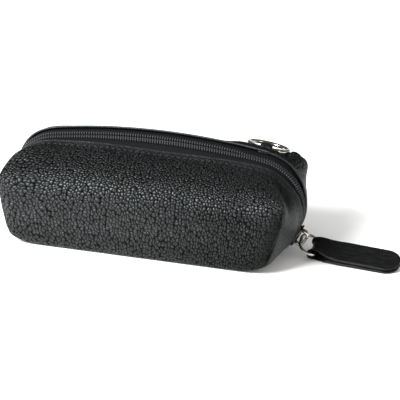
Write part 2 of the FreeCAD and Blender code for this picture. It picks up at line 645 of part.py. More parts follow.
hang_ring.Placement = FreeCAD.Placement(hang_centre, lie)

# Pen loops: elastic sewn to the rear lining, in two loops one above the other
PEN_OUTSIDE = "( penLoopRadius + elasticThickness )"
LINING_WALL = "( caseDepth / 2 - leatherThickness - boardThickness - liningThickness - seatLift )"
STRIP_FOOT = f"( {BASE_TOP} + penLoopLift )"
STRIP_TOP = f"{STRIP_FOOT} + 4 * {PEN_OUTSIDE} + elasticThickness"
LOOP_HEIGHTS = [f"{STRIP_FOOT} + {PEN_OUTSIDE}", f"{STRIP_TOP} - {PEN_OUTSIDE}"]
pen_loops = new_body("pen_loops")
strip = add_sketch(pen_loops, "pen_strip_outline", "YZ_Plane")
add_rectangle(strip, f"{LINING_WALL} - elasticThickness", LINING_WALL, STRIP_FOOT, STRIP_TOP)
add_pad(pen_loops, "pen_strip", strip, "penLoopWidth")
for number, height in enumerate(LOOP_HEIGHTS, start=1):
    curl = add_sketch(pen_loops, f"pen_curl_outline_{number}", "YZ_Plane")
    add_circle(curl, PEN_OUTSIDE, f"{LINING_WALL} - {PEN_OUTSIDE}", height)
    add_pad(pen_loops, f"pen_curl_{number}", curl, "penLoopWidth")
for number, height in enumerate(LOOP_HEIGHTS, start=1):
    bore = add_sketch(pen_loops, f"pen_bore_outline_{number}", "YZ_Plane")
    add_circle(bore, "penLoopRadius", f"{LINING_WALL} - {PEN_OUTSIDE}", height)
    add_through_pocket(pen_loops, f"pen_bore_{number}", bore)

# Check every object, then write one file for each piece
NODES = [
    "base_panel", "base_board", "base_lining",
    "front_panel", "front_board", "front_lining", "front_zip_tape", "front_zip_coil",
    "rear_panel", "rear_board", "rear_lining", "rear_zip_tape", "rear_zip_coil",
    "right_end_tab", "left_end_tab", "zip_top_stops", "zip_bottom_stop",
    "ring_loop", "pen_loops", "slider_body", "slider_bridge", "pull_ring", "pull_tab", "hang_ring",
]
doc.recompute()
for item in doc.Objects:
    if "Invalid" in item.State or "Error" in item.State:
        raise RuntimeError("%s did not build: %s" % (item.Name, item.State))
os.makedirs("parts", exist_ok=True)
for label in NODES:
    shape = doc.getObject(label).Shape
    if shape.isNull() or not shape.isValid():
        raise RuntimeError("%s has no sound shape" % label)
    shape.exportStep("parts/%s.step" % label)
    box = shape.optimalBoundingBox()
    spans = (box.XMin, box.XMax, box.YMin, box.YMax, box.ZMin, box.ZMax)
    print("%-16s %d solid  x %.1f %.1f  y %.1f %.1f  z %.1f %.1f" % (label, len(shape.Solids), *spans))
hang_axis = end_fall.multVec(FreeCAD.Vector(1, 0, 0))
hang_upright = lie.multVec(FreeCAD.Vector(0, 0, 1))
for label, point in (
    ("bridge hole", bridge_hole), ("tab start", tab_start), ("pull axis", pull_axis),
    ("ring pivot", ring_pivot), ("ring axis", hang_axis),
    ("ring centre", hang_centre), ("ring upright", hang_upright),
):
    print("%s  %.3f %.3f %.3f" % (label, point.x, point.y, point.z))
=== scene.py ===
import json
import math

import bmesh
import bpy
from mathutils import Matrix, Vector, noise


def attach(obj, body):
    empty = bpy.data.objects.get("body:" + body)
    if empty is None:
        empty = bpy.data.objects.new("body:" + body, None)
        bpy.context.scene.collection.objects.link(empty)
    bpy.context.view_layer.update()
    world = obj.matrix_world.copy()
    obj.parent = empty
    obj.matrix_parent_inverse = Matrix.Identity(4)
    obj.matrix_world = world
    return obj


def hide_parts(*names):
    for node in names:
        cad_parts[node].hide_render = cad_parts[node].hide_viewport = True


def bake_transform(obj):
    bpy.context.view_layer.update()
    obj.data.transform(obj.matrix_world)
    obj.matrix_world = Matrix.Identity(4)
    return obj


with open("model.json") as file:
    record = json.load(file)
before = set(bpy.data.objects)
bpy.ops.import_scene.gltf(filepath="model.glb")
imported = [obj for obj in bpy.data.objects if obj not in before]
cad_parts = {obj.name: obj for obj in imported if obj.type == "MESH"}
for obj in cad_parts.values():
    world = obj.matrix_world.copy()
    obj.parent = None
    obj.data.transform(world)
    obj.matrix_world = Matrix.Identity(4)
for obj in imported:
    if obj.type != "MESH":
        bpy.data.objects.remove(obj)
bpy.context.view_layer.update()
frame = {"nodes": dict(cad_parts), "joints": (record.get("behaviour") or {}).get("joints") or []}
joints = {row["name"]: row for row in frame["joints"]}
print("frame loaded")


# Small shape helpers, all in millimetres until a piece is made
def mix(first, second, share):
    return first + (second - first) * share


def ease(low, high, value):
    share = min(max((value - low) / (high - low), 0.0), 1.0)
    return share * share * (3.0 - 2.0 * share)


def bell(value, centre, width):
    return math.exp(-(((value - centre) / width) ** 2))


def hump(value, form):
    # a soft form by its height, middle and width
    height, middle, width = form
    return height * bell(value, middle, width)


def hinge(name):
    # a joint's place in millimetres and its direction
    return Vector(joints[name]["pos_m"]) * 1000, Vector(joints[name]["axis"]).normalized()


def weave(bm, rows):
    # quads between rows of vertices
    for lower, upper in zip(rows, rows[1:]):
        for number in range(len(lower) - 1):
            corners = [lower[number], lower[number + 1], upper[number + 1], upper[number]]
            if len(set(corners)) > 2:
                bm.faces.new(list(dict.fromkeys(corners)))


def addBead(bm, place, sizes, turn, boxy=1.0):
    # a small rounded grain: tooth, stitch or thread
    made = bmesh.ops.create_uvsphere(bm, u_segments=8, v_segments=6, radius=1.0)
    for vert in made["verts"]:
        shaped = [math.copysign(abs(part) ** boxy, part) for part in vert.co]
        vert.co = place + turn @ Vector([part * half for part, half in zip(shaped, sizes)])


def faceOut(bm):
    bmesh.ops.recalc_face_normals(bm, faces=bm.faces)


def thicken(bm, thickness):
    faceOut(bm)
    bmesh.ops.solidify(bm, geom=bm.faces[:], thickness=thickness)


def mirror(bm):
    # from the front of the case to its back
    bmesh.ops.scale(bm, vec=(1, -1, 1), verts=bm.verts)
    bmesh.ops.reverse_faces(bm, faces=bm.faces)


def weaveStrap(bm, inside, outside):
    # both faces of a strap, its sides and its ends
    weave(bm, inside)
    weave(bm, outside)
    for side in (0, -1):
        weave(bm, [[row[side] for row in inside], [row[side] for row in outside]])
    for end in (0, -1):
        weave(bm, [inside[end], outside[end]])


def makePiece(bm, name, material, smooth=True):
    bmesh.ops.scale(bm, vec=(0.001, 0.001, 0.001), verts=bm.verts)
    mesh = bpy.data.meshes.new(name)
    bm.to_mesh(mesh)
    bm.free()
    mesh.materials.append(material)
    for face in mesh.polygons:
        face.use_smooth = smooth
    piece = bpy.data.objects.new(name, mesh)
    bpy.context.scene.collection.objects.link(piece)
    return piece


def paint(node, material):
    # a solid that shows as it is
    frame["nodes"][node].data.materials.clear()
    frame["nodes"][node].data.materials.append(material)


# Materials
def linear(code):
    parts = [int(code[place:place + 2], 16) / 255 for place in (1, 3, 5)]
    return tuple(p / 12.92 if p <= 0.04045 else ((p + 0.055) / 1.055) ** 2.4 for p in parts) + (1.0,)


def joinUp(tree, node, links):
    # a link comes from one output, or from a node by its first output
    for name, source in links.items():
        if isinstance(source, bpy.types.Node):
            source = source.outputs[0]
        tree.links.new(source, node.inputs[name])


def addNode(tree, kind, settings, links):
    node = tree.nodes.new("ShaderNode" + kind)
    for name, value in settings.items():
        if isinstance(name, str) and hasattr(node, name):
            setattr(node, name, value)
        else:
            node.inputs[name].default_value = value
    joinUp(tree, node, links)
    return node


def addNoise(tree, coords, scale, detail, rough=0.5):
    settings = {"Scale": scale, "Detail": detail, "Roughness": rough}
    return addNode(tree, "TexNoise", settings, {"Vector": coords})


def addScaled(tree, source, factor, more):
    # source times factor plus more
    return addNode(tree, "Math", {"operation": "MULTIPLY_ADD", 1: factor}, {0: source, 2: more})


def addRamp(tree, source, stops):
    ramp = addNode(tree, "ValToRGB", {}, {"Fac": source})
    marks = ramp.color_ramp.elements
    for number, (place, code) in enumerate(stops):
        mark = marks[number] if number < len(marks) else marks.new(place)
        mark.position = place
        mark.color = linear(code)
    return ramp


def startMaterial(name, settings):
    material = bpy.data.materials.new(name)
    material.use_nodes = True
    tree = material.node_tree
    shader = tree.nodes["Principled BSDF"]
    for socket, value in settings.items():
        shader.inputs[socket].default_value = value
    return material, tree, shader


# Black drummed calf leather, pigment finished: low rounded pebbles about 2 mm wide with thin creases painted
# dark as shade and a soft grey sheen on their tops; pores are drawn coarser than life so that they show
def makePebbledLeather():
    material, tree, shader = startMaterial("drummedCalfLeather", {"Specular Tint": linear("#ecf1f2")})
    hide = addNode(tree, "Attribute", {"attribute_name": "hide"}, {}).outputs["Vector"]
    grain = addNode(tree, "Attribute", {"attribute_name": "grain"}, {}).outputs["Fac"]
    paintedShade = addNode(tree, "Attribute", {"attribute_name": "paintedShade"}, {}).outputs["Fac"]
    sway = addNoise(tree, hide, 0.19, 2.0)
    swayed = {"operation": "MULTIPLY_ADD", 1: (2.6, 2.6, 0.0)}
    bent = addNode(tree, "VectorMath", swayed, {0: sway.outputs["Color"], 2: hide})
    cells = {"voronoi_dimensions": "2D", "Scale": 0.51, "Randomness": 0.95}
    domes = addNode(tree, "TexVoronoi", {"feature": "F1", **cells}, {"Vector": bent})
    edges = addNode(tree, "TexVoronoi", {"feature": "DISTANCE_TO_EDGE", **cells}, {"Vector": bent})
    dome = addNode(tree, "Math", {"operation": "MULTIPLY"}, {0: domes, 1: domes})
    thin = {"interpolation_type": "SMOOTHSTEP", "From Max": 0.28, "To Min": 0.58, "To Max": 0.0}
    crease = addNode(tree, "MapRange", thin, {"Value": edges})
    depth = addScaled(tree, dome, 1.5, crease)
    sunk = addNode(tree, "MapRange", {"From Max": 1.0, "To Min": 0.45}, {"Value": grain, "To Max": depth})
    chance = addNode(tree, "Math", {"operation": "MULTIPLY"}, {0: domes.outputs["Color"], 1: grain})
    uneven = addScaled(tree, chance, 0.42, sunk)
    pores = addNoise(tree, hide, 0.9, 3.0, 0.6)
    height = addScaled(tree, pores, -0.4, uneven)
    bump = addNode(tree, "Bump", {"Strength": 1.0, "Distance": 0.00043, "invert": True}, {"Height": height})
    # painted shade: the pebbles' creases and the painted shade attribute raise this value, which darkens the
    # colour and takes away shine; negative values on the rolled edge paint a highlight
    low = addScaled(tree, uneven, 0.5, paintedShade)
    cloud = addNoise(tree, hide, 0.045, 2.0)
    tone = addNode(tree, "Math", {"operation": "SUBTRACT", "use_clamp": True}, {0: cloud, 1: low})
    ramp = addRamp(tree, tone, [(0.0, "#040505"), (0.55, "#0b0e10"), (1.0, "#2a2e31")])
    shine = addNode(tree, "MapRange", {"From Max": 0.85, "To Min": 0.78, "To Max": 0.05}, {"Value": low})
    gloss = addNode(tree, "MapRange", {"To Min": 0.44, "To Max": 0.58}, {"Value": sunk})
    joinUp(tree, shader, {"Base Color": ramp, "Specular IOR Level": shine})
    joinUp(tree, shader, {"Roughness": gloss, "Normal": bump})
    return material


# Strap leather, rolled smooth: long fine grain lines and a satin face
def makeStrapLeather():
    satin = {"Roughness": 0.5, "Specular IOR Level": 0.25}
    material, tree, shader = startMaterial("rolledStrapLeather", satin)
    coords = addNode(tree, "TexCoord", {}, {}).outputs["Object"]
    stretched = addNode(tree, "Mapping", {"Scale": (150.0, 620.0, 620.0)}, {"Vector": coords})
    lines = addNoise(tree, stretched, 1.0, 3.0)
    bump = addNode(tree, "Bump", {"Strength": 1.0, "Distance": 0.0006}, {"Height": lines})
    ramp = addRamp(tree, lines, [(0.35, "#060607"), (0.7, "#141516")])
    joinUp(tree, shader, {"Base Color": ramp, "Normal": bump})
    return material


# Woven polyester: fine ribs that break the light, about twice as coarse as life so that they show
def makeWoven(name, dark, light, pitch, rough):
    material, tree, shader = startMaterial(name, {"Roughness": rough, "Specular IOR Level": 0.1})
    coords = addNode(tree, "TexCoord", {}, {}).outputs["Object"]
    wave = {"bands_direction": "DIAGONAL", "Scale": 0.314 / pitch, "Distortion": 0.6}
    ribs = addNode(tree, "TexWave", wave, {"Vector": coords}).outputs["Fac"]
    bump = addNode(tree, "Bump", {"Strength": 0.5, "Distance": 0.0002}, {"Height": ribs})
    ramp = addRamp(tree, ribs, [(0.0, dark), (1.0, light)])
    joinUp(tree, shader, {"Base Color": ramp, "Normal": bump})
    return material


# Polished nickel plate: bright mirror with faint wear in its gloss
def makeNickel(name, tint):
    material, tree, shader = startMaterial(name, {"Metallic": 1.0, "Base Color": linear(tint)})
    coords = addNode(tree, "TexCoord", {}, {}).outputs["Object"]
    wear = addNoise(tree, coords, 900.0, 2.0)
    gloss = addNode(tree, "MapRange", {"To Min": 0.08, "To Max": 0.24}, {"Value": wear})
    joinUp(tree, shader, {"Roughness": gloss})
    return material


pebbledLeather = makePebbledLeather()
strapLeather = makeStrapLeather()
zipCloth = makeWoven("wovenZipTape", "#070808", "#121416", 0.0011, 0.8)
liningCloth = makeWoven("wovenLining", "#1d1e21", "#34363b", 0.0012, 0.85)
elasticCloth = makeWoven("ribbedElastic", "#101112", "#242628", 0.0014, 0.7)
nickel = makeNickel("polishedNickel", "#c6c3bc")
darkNickel = makeNickel("smokedNickel", "#4c4743")
# plain dyed nylon with a dull sheen, and dry grey board
coilNylon = startMaterial("mouldedNylonCoil", {"Base Color": linear("#27292c"), "Roughness": 0.55})[0]
thread = startMaterial("bondedNylonThread", {"Base Color": linear("#101112"), "Roughness": 0.6})[0]
greyBoard = startMaterial("millboard", {"Base Color": linear("#5f5a54"), "Roughness": 0.9})[0]
print("materials made")

# The case's outline: an arc over each end and a flat arch between them, where the zip runs
case = {
    "halfLength": 89.0, "height": 61.0, "archRise": 5.0, "endSink": 3.0, "rimRise": 0.4, "rimY": 8.0,
    "footHalf": 75.5, "footY": 40.0, "creaseHalf": 84.5, "creaseY": 37.6, "creaseZ": 44.0,
    "creaseBow": 3.2, "turnUnder": 10.0, "cornerLift": 3.2, "leftMore": 3.0, "leftDrop": 2.0,
    "leftFootMore": 5.5, "shoulderOut": 5.0, "underZ": 1.0, "floorZ": 0.05, "farOff": 40.0,
    "ridgeReach": 14.0, "bendMiddle": 21.0, "bendEnd": 8.0, "roofTight": 1.45, "rightTight": 14.0,
    "leftFrom": (0.3, 1.0), "endFrom": (0.7, 1.0), "cornerFrom": (0.8, 1.05), "topFrom": (0.5, 1.0),
    "outForward": 0.3,
}
endRadius = (case["height"] - case["archRise"] + case["endSink"]) / 2
endX = case["halfLength"] - endRadius
endZ = endRadius - case["endSink"]
topRise = endRadius + case["archRise"]
archRadius = (endX**2 + topRise**2 - endRadius**2) / (2 * case["archRise"])
archZ = case["height"] - archRadius
tangent = math.atan2(endZ - archZ, endX)
archHalf = archRadius * (math.pi / 2 - tangent)


# The zip's lean: slopes in mm for each mm off the middle, places as lengths along the run
lean = {
    "sliderHalf": 5.0, "levelFrom": (46.0, 64.0), "front": 0.11, "frontSag": (0.49, 5.0, 45.0),
    "frontEnd": (84.0, 104.0), "rearSteep": 0.55, "rearSlow": 0.13, "rearKnee": 3.2, "rearEnd": (76.0, 102.0),
}


def zipLean(length, y):
    # the front half sags along the middle, so the zip faces forwards there; the middle of the zip
    # stays level where the slider runs, on the right
    level = lean["sliderHalf"] * ease(*lean["levelFrom"], length)
    off = max(abs(y) - level, 0.0) * case["rimY"] / (case["rimY"] - level)
    if y < 0:
        sag = lean["front"] + hump(length, lean["frontSag"])
        return -off * sag * (1 - ease(*lean["frontEnd"], abs(length)))
    rise = lean["rearSteep"] * min(off, lean["rearKnee"])
    rise += lean["rearSlow"] * max(min(off, case["rimY"]) - lean["rearKnee"], 0.0)
    return rise * (1 - ease(*lean["rearEnd"], abs(length)))


def onRun(length, growth, y):
    # a point by its length along the run from the top middle, to the right positive
    reach = abs(length)
    growth += zipLean(length, y)
    if reach <= archHalf:
        turn = math.pi / 2 - reach / archRadius
        radius = archRadius + growth
        point = Vector((radius * math.cos(turn), y, archZ + radius * math.sin(turn)))
    else:
        turn = tangent - (reach - archHalf) / endRadius
        radius = endRadius + growth
        point = Vector((endX + radius * math.cos(turn), y, endZ + radius * math.sin(turn)))
    point.x = math.copysign(point.x, length)
    return point


def lengthAt(angle):
    # length along the run of a place so many degrees below the centre of an end
    return archHalf + (tangent + math.radians(angle)) * endRadius


footAngle = math.degrees(math.asin(endZ / (endRadius + case["rimRise"])))
runFoot = lengthAt(footAngle)


# Half shells of leather: wall, roof, two ends and a turned-under strip, softened together
def creasePoint(across):
    # the left shoulder stands out further and hangs lower than the right one
    left = ease(*case["leftFrom"], -across)
    out = case["shoulderOut"] * ease(*case["endFrom"], abs(across))
    bow = case["creaseBow"] * (1 - across**2) - case["leftDrop"] * left
    x = case["creaseHalf"] * across - case["leftMore"] * left + math.copysign(out, across)
    return Vector((x, -case["creaseY"] - case["outForward"] * out, case["creaseZ"] + bow))


def sidePoint(across, rim, along):
    # a place up the side, by its distance past the crease; the crease is a wide soft bend
    crease = creasePoint(across)
    bend = mix(case["bendMiddle"], case["bendEnd"], ease(*case["endFrom"], abs(across)))
    down = (footPoint(across) - crease).normalized()
    up = (rim - crease).normalized()
    if abs(along) >= bend:
        return crease + (up if along > 0 else down) * abs(along)
    share = 0.5 + 0.5 * along / bend
    first, last = crease + down * bend, crease + up * bend
    return first * (1 - share) ** 2 + crease * 2 * share * (1 - share) + last * share**2


def footPoint(across):
    # the foot turns up towards its corners
    left = ease(*case["leftFrom"], -across)
    rise = case["cornerLift"] * ease(*case["cornerFrom"], abs(across))
    return Vector((case["footHalf"] * across - case["leftFootMore"] * left, -case["footY"], rise))


def hideAlong(across):
    # place along the flat hide; the grain is drawn tighter towards the right end
    return case["creaseHalf"] * across + case["rightTight"] * max(across, 0.0) ** 3


def rimPoint(length, side):
    # both shells are shaped on the front side and the rear one is mirrored later
    point = onRun(length, case["rimRise"], side * case["rimY"])
    point.y = -case["rimY"]
    return point


def offLine(point, start, finish):
    # distance from a straight line between two points
    way = finish - start
    share = min(max((point - start).dot(way) / way.length_squared, 0.0), 1.0)
    return (point - start - way * share).length


def soften(bm, verts, rounds):
    for turn in range(rounds):
        bmesh.ops.smooth_vert(
            bm, verts=verts, factor=0.5, use_axis_x=True, use_axis_y=True, use_axis_z=True
        )


def layShell(bm, cells, side):
    # rows of vertices for every part of a shell; neighbouring parts share their border rows
    names = ("seam", "rise", "edge", "end", "grain", "paintedShade")
    layers = {name: bm.verts.layers.float.new(name) for name in names}
    layers["hide"] = bm.verts.layers.float_vector.new("hide")

    def put(point, flat, **values):
        vert = bm.verts.new(point)
        vert[layers["hide"]] = Vector((*flat, 0))
        for name, value in values.items():
            vert[layers[name]] = value
        return vert

    steps = {name: [number / count for number in range(count + 1)] for name, count in cells.items()}
    acrosses = [2 * share - 1 for share in steps["across"]]
    rims = [rimPoint(archHalf * across, side) for across in acrosses]
    roofWidth = (rims[len(rims) // 2] - creasePoint(0)).length
    roofHide = case["roofTight"] * roofWidth
    endWidth = case["creaseY"] - case["rimY"]
    grids = {"wall": []}
    for rise in steps["wall"]:
        row = []
        for a, rim in zip(acrosses, rims):
            place = sidePoint(a, rim, (rise - 1) * (footPoint(a) - creasePoint(a)).length)
            flat = (hideAlong(a), roofHide + (1 - rise) * case["creaseZ"])
            seam = (1 - abs(a)) * case["creaseHalf"]
            row.append(put(place, flat, seam=seam, rise=rise, edge=case["farOff"]))
        grids["wall"].append(row)
    grids["roof"] = [grids["wall"][-1]]
    for share in steps["roof"][1:]:
        row = []
        for a, rim in zip(acrosses, rims):
            place = sidePoint(a, rim, share * (rim - creasePoint(a)).length)
            off = (1 - share) * roofWidth
            flat = (hideAlong(a), (1 - share) * roofHide)
            row.append(put(place, flat, seam=case["farOff"], rise=1.0, edge=off))
        grids["roof"].append(row)
    grids["under"] = [grids["wall"][0]]
    for share in steps["under"][1:]:
        row = []
        for a in acrosses:
            place = turnedUnder(footPoint(a), 1.0, share)
            flat = (hideAlong(a), roofHide + case["creaseZ"] + share * case["turnUnder"])
            row.append(put(place, flat, seam=(1 - abs(a)) * case["footHalf"], edge=case["farOff"]))
        grids["under"].append(row)
    for name, sign, column in (("left", -1, 0), ("right", 1, -1)):
        ridge = [row[column].co.copy() for row in grids["roof"]]
        grids[name] = []
        for number, rise in enumerate(steps["wall"][:-1]):
            corner = grids["wall"][number][column]
            rim = rimPoint(sign * mix(runFoot, archHalf, rise), side)
            reach = hideAlong(sign) + sign * (1 - rise) * case["creaseZ"]
            row = [corner]
            for share, top in zip(steps["roof"][1:], ridge[1:]):
                place = mix(corner.co, rim, share)
                place += (top - mix(ridge[0], ridge[-1], share)) * ease(*case["topFrom"], rise)
                off = (1 - share) * endWidth
                flat = (reach, (1 - share) * roofHide)
                row.append(put(place, flat, seam=endWidth - off, rise=rise, edge=off, end=sign))
            grids[name].append(row)
        grids[name].append([row[column] for row in grids["roof"]])
        strip = [grids[name][0]]
        for number, under in enumerate(steps["under"][1:], 1):
            reach = hideAlong(sign) + sign * (case["creaseZ"] + under * case["turnUnder"])
            row = [grids["under"][number][column]]
            for share, vert in zip(steps["roof"][1:], strip[0][1:]):
                place = turnedUnder(vert.co, 1 - share, under)
                off = (1 - share) * endWidth
                flat = (reach, (1 - share) * roofHide)
                row.append(put(place, flat, seam=endWidth - off, edge=off, end=sign))
            strip.append(row)
        grids[name + "Under"] = strip
    return layers, grids


def turnedUnder(point, forward, share):
    # a place on the strip under the foot, by its share of the way in
    shrink = 1 - case["turnUnder"] / case["footHalf"] * share
    y = point.y + case["turnUnder"] * forward * share
    return Vector((point.x * shrink, y, mix(point.z, case["underZ"], share)))


def startShell(cells, rounds, side):
    bm = bmesh.new()
    layers, grids = layShell(bm, cells, side)
    for grid in grids.values():
        weave(bm, grid)
    held = set(grids["roof"][-1]) | set(grids["under"][-1])
    for name in ("left", "right"):
        held |= {row[-1] for row in grids[name]} | {row[-1] for row in grids[name + "Under"]}
        held |= set(grids[name + "Under"][-1])
    free = [vert for vert in bm.verts if vert not in held]
    soften(bm, free, rounds)
    ridges = [(creasePoint(sign), rimPoint(sign * archHalf, side)) for sign in (-1, 1)]
    near = [vert for vert in free if min(offLine(vert.co, *ridge) for ridge in ridges) < case["ridgeReach"]]
    soften(bm, near, 3 * rounds)
    faceOut(bm)
    bm.normal_update()
    middle = grids["wall"][cells["wall"] // 2][cells["across"] // 2]
    if middle.normal.y > 0:
        bmesh.ops.reverse_faces(bm, faces=bm.faces)
        bm.normal_update()
    return bm, layers, grids


def rimRow(grids, step):
    # vertices beside the zip, so many steps in from the leather's edge, from right foot to left foot
    right = [row[-1 - step] for row in grids["right"]]
    top = list(reversed(grids["roof"][-1 - step]))
    left = [row[-1 - step] for row in reversed(grids["left"])]
    return list(dict.fromkeys(right + top + left))


leather = {
    "cells": {"across": 220, "wall": 60, "roof": 44, "under": 12}, "rounds": 44,
    "footIn": 1.8, "footCurl": 0.2, "stitchStep": 4, "stitchPitch": 3.6, "stitchSize": (1.3, 0.3, 0.3),
    "stitchBoxy": 0.8, "stitchLift": 0.08, "stitchFoot": 2.0, "rollGrain": 0.2,
    # each row of the rolled edge: inwards, outwards, strength of a painted highlight
    "edgeRoll": [
        (0.35, 0.4, 0.5), (0.8, 0.42, 0.5), (1.15, 0.05, 0.2), (1.1, -0.6, 0.0), (0.5, -1.2, 0.0),
        (-4.0, -2.2, 0.0),
    ],
}

# Soft forms of the leather: edge is the distance from the rim, rise the share of the wall's height;
# three numbers are height, middle and width, and two are where a form starts and where it is full
sculpt = {
    "swell": 1.1, "swellFull": 30.0, "wave": 0.55, "waveLength": 21.0, "waveEdge": (0.0, 8.0),
    "waveFoot": (0.0, 0.15), "footEdge": (4.0, 20.0), "stitchDip": (0.3, 2.6, 0.8),
    "groove": (3.8, 0.0, 1.3), "fold": (3.0, 0.0, 5.5), "seamLow": 0.45, "seamFull": (0.1, 0.5),
    "seamTop": (0.88, 1.02), "roofSwell": {-1: (0.6, 8.0, 6.0), 1: (1.0, 8.0, 6.0)},
    # a patch: height, rise and its width, edge and its width
    "endSwell": (1.6, 0.45, 0.22, 11.0, 8.0), "endDip": (-2.2, 0.78, 0.14, 10.0, 7.0),
    "endDipTop": (0.82, 1.0),
    # two rolls beside the back ring, and where they start and stop
    "rolls": [(1.8, 3.6, 2.4), (2.6, 19.0, 6.0)], "rollStart": (36.0, 50.0), "rollStop": (76.0, 84.0),
    "shoulderRise": (0.7, 0.95),
    "shoulders": {-1: ((4.4, 11.0, 9.5), (50.0, 80.0)), 1: ((4.5, 14.0, 9.0), (72.0, 84.0))},
}


def onPatch(patch, rise, edge):
    height, up, tall, off, wide = patch
    return height * bell(rise, up, tall) * bell(edge, off, wide)


def onWall(edge, end):
    # walls and the strips under them carry the far distance in place of one from the rim
    return end == 0 and edge > case["farOff"] - 1


def endLift(rise, edge, end):
    lift = onPatch(sculpt["endSwell"], rise, edge)
    if end > 0:
        lift += onPatch(sculpt["endDip"], rise, edge) * (1 - ease(*sculpt["endDipTop"], rise))
    return lift


def roofLift(x, edge, side):
    lift = hump(edge, sculpt["roofSwell"][side])
    if side > 0:
        roll = ease(*sculpt["rollStart"], x) * (1 - ease(*sculpt["rollStop"], x))
        lift += roll * sum(hump(edge, form) for form in sculpt["rolls"])
    return lift


def shoulderLift(x, rise, edge, side):
    # the front half stands full at its left shoulder, the rear half at its right one
    form, out = sculpt["shoulders"][side]
    return hump(edge, form) * ease(*sculpt["shoulderRise"], rise) * ease(*out, side * x)


def seamReach(rise):
    # how strongly the corner seam draws in, up its height
    share = mix(sculpt["seamLow"], 1.0, ease(*sculpt["seamFull"], rise))
    return share * (1 - ease(*sculpt["seamTop"], rise))


def sculptLeather(bm, layers, side):
    # swell, slow waves, the corner seams and the dips beside the zip
    moves = []
    for vert in bm.verts:
        seam, rise, edge, end = [vert[layers[name]] for name in ("seam", "rise", "edge", "end")]
        place = vert.co
        lift = shoulderLift(place.x, rise, edge, side)
        if end != 0:
            lift += endLift(rise, edge, end)
        elif not onWall(edge, end):
            lift += roofLift(place.x, edge, side)
        elif rise > 0:
            lift += sculpt["swell"] * math.sin(math.pi * rise) * ease(0, sculpt["swellFull"], seam)
        still = ease(*sculpt["waveEdge"], edge) * ease(*sculpt["waveFoot"], rise)
        lift += sculpt["wave"] * noise.noise(place / sculpt["waveLength"]) * still
        lift -= seamReach(rise) * (hump(seam, sculpt["groove"]) + hump(seam, sculpt["fold"]))
        lift -= hump(edge, sculpt["stitchDip"])
        moves.append(vert.normal * lift)
    for vert, move in zip(bm.verts, moves):
        low = 1 - ease(0.0, leather["footCurl"], vert[layers["rise"]])
        vert.co += move
        vert.co.y += leather["footIn"] * low * ease(*sculpt["footEdge"], vert[layers["edge"]])
        vert.co.z = max(vert.co.z, case["floorZ"])


# The ring on the back lies in a soft groove of the rear leather
backRing = {"radius": 12.0, "wire": 1.25, "fall": 13.58, "room": 0.5, "depth": 7.0}


def pressRing(bm):
    # the rear shell is mirrored later, so its places are mirrored here to meet the ring
    pivot, axis = hinge("hang_ring_swing")
    level = axis.cross(Vector((0, 1, 0)))
    fall = math.radians(backRing["fall"])
    up = level * math.cos(fall) + Vector((0, math.sin(fall), 0))
    centre = pivot + (Vector((0, math.cos(fall), 0)) - level * math.sin(fall)) * backRing["radius"]
    reach = backRing["wire"] + backRing["room"]
    for vert in bm.verts:
        place = Vector((vert.co.x, -vert.co.y, vert.co.z)) - centre
        height = place.dot(up)
        aside = abs((place - up * height).length - backRing["radius"])
        limit = aside - reach
        if aside < reach:
            limit = -math.sqrt(reach**2 - aside**2)
        if limit < height < backRing["depth"]:
            move = up * (limit - height)
            vert.co += Vector((move.x, -move.y, move.z))


# Where the grain lies smoother, and where shade is painted: darker folds, seams, wall foot, wall right end
# and roof by the rim; two numbers are where a change starts and ends, three or five a form as above
surface = {
    "rightHalf": (20.0, 60.0), "lowPart": (0.7, 0.98), "endLeft": 0.8, "endRight": 0.25, "seamGrain": 0.25,
    "seamFade": (4.0, 17.0), "rimGrain": 0.35, "rimFade": (1.0, 6.0), "groove": (1.2, 0.0, 1.9),
    "dart": (0.28, 0.0, 10.0), "wall": 0.07, "wallRight": 0.19, "wallAlong": (-10.0, 75.0),
    "wallTop": (0.7, 0.95), "foot": 0.16, "footTop": (0.0, 0.45), "roof": 0.17, "roofFoot": (20.0, 34.0),
    "endSeam": (0.2, 0.0, 9.0), "endFold": (0.35, 0.84, 0.14, 11.0, 8.0), "endFoldTop": (0.85, 1.0),
}


def grainShare(place, seam, rise, edge, end):
    # stretched leather round the right-hand seam lies smoother
    right = ease(*surface["rightHalf"], place.x)
    low = 1 - ease(*surface["lowPart"], rise)
    share = 1.0
    if end != 0:
        share = mix(1.0, mix(surface["endLeft"], surface["endRight"], right), low)
    elif seam < case["farOff"] - 1:
        near = mix(surface["seamGrain"], 1.0, ease(*surface["seamFade"], seam))
        share = mix(1.0, near, right * low)
    return share * mix(surface["rimGrain"], 1.0, ease(*surface["rimFade"], edge))


def paintedShadeShare(place, seam, rise, edge, end):
    # painted shade: folds and seams are painted dark and without shine, the wall darker towards its foot and
    # its right end, the roof darker by the rim and the right end darker in its fold by the zip
    reach = seamReach(rise)
    share = reach * hump(seam, surface["groove"])
    if end == 0:
        right = ease(*surface["rightHalf"], place.x)
        share += right * reach * hump(seam, surface["dart"])
    if onWall(edge, end):
        dim = surface["wall"] + surface["wallRight"] * ease(*surface["wallAlong"], place.x)
        share += dim * (1 - ease(*surface["wallTop"], rise))
        share += surface["foot"] * (1 - ease(*surface["footTop"], rise))
    elif end == 0:
        share += surface["roof"] * (1 - ease(*surface["roofFoot"], edge))
    elif end > 0:
        share += onPatch(surface["endFold"], rise, edge) * (1 - ease(*surface["endFoldTop"], rise))
        share += hump(seam, surface["endSeam"])
    return share


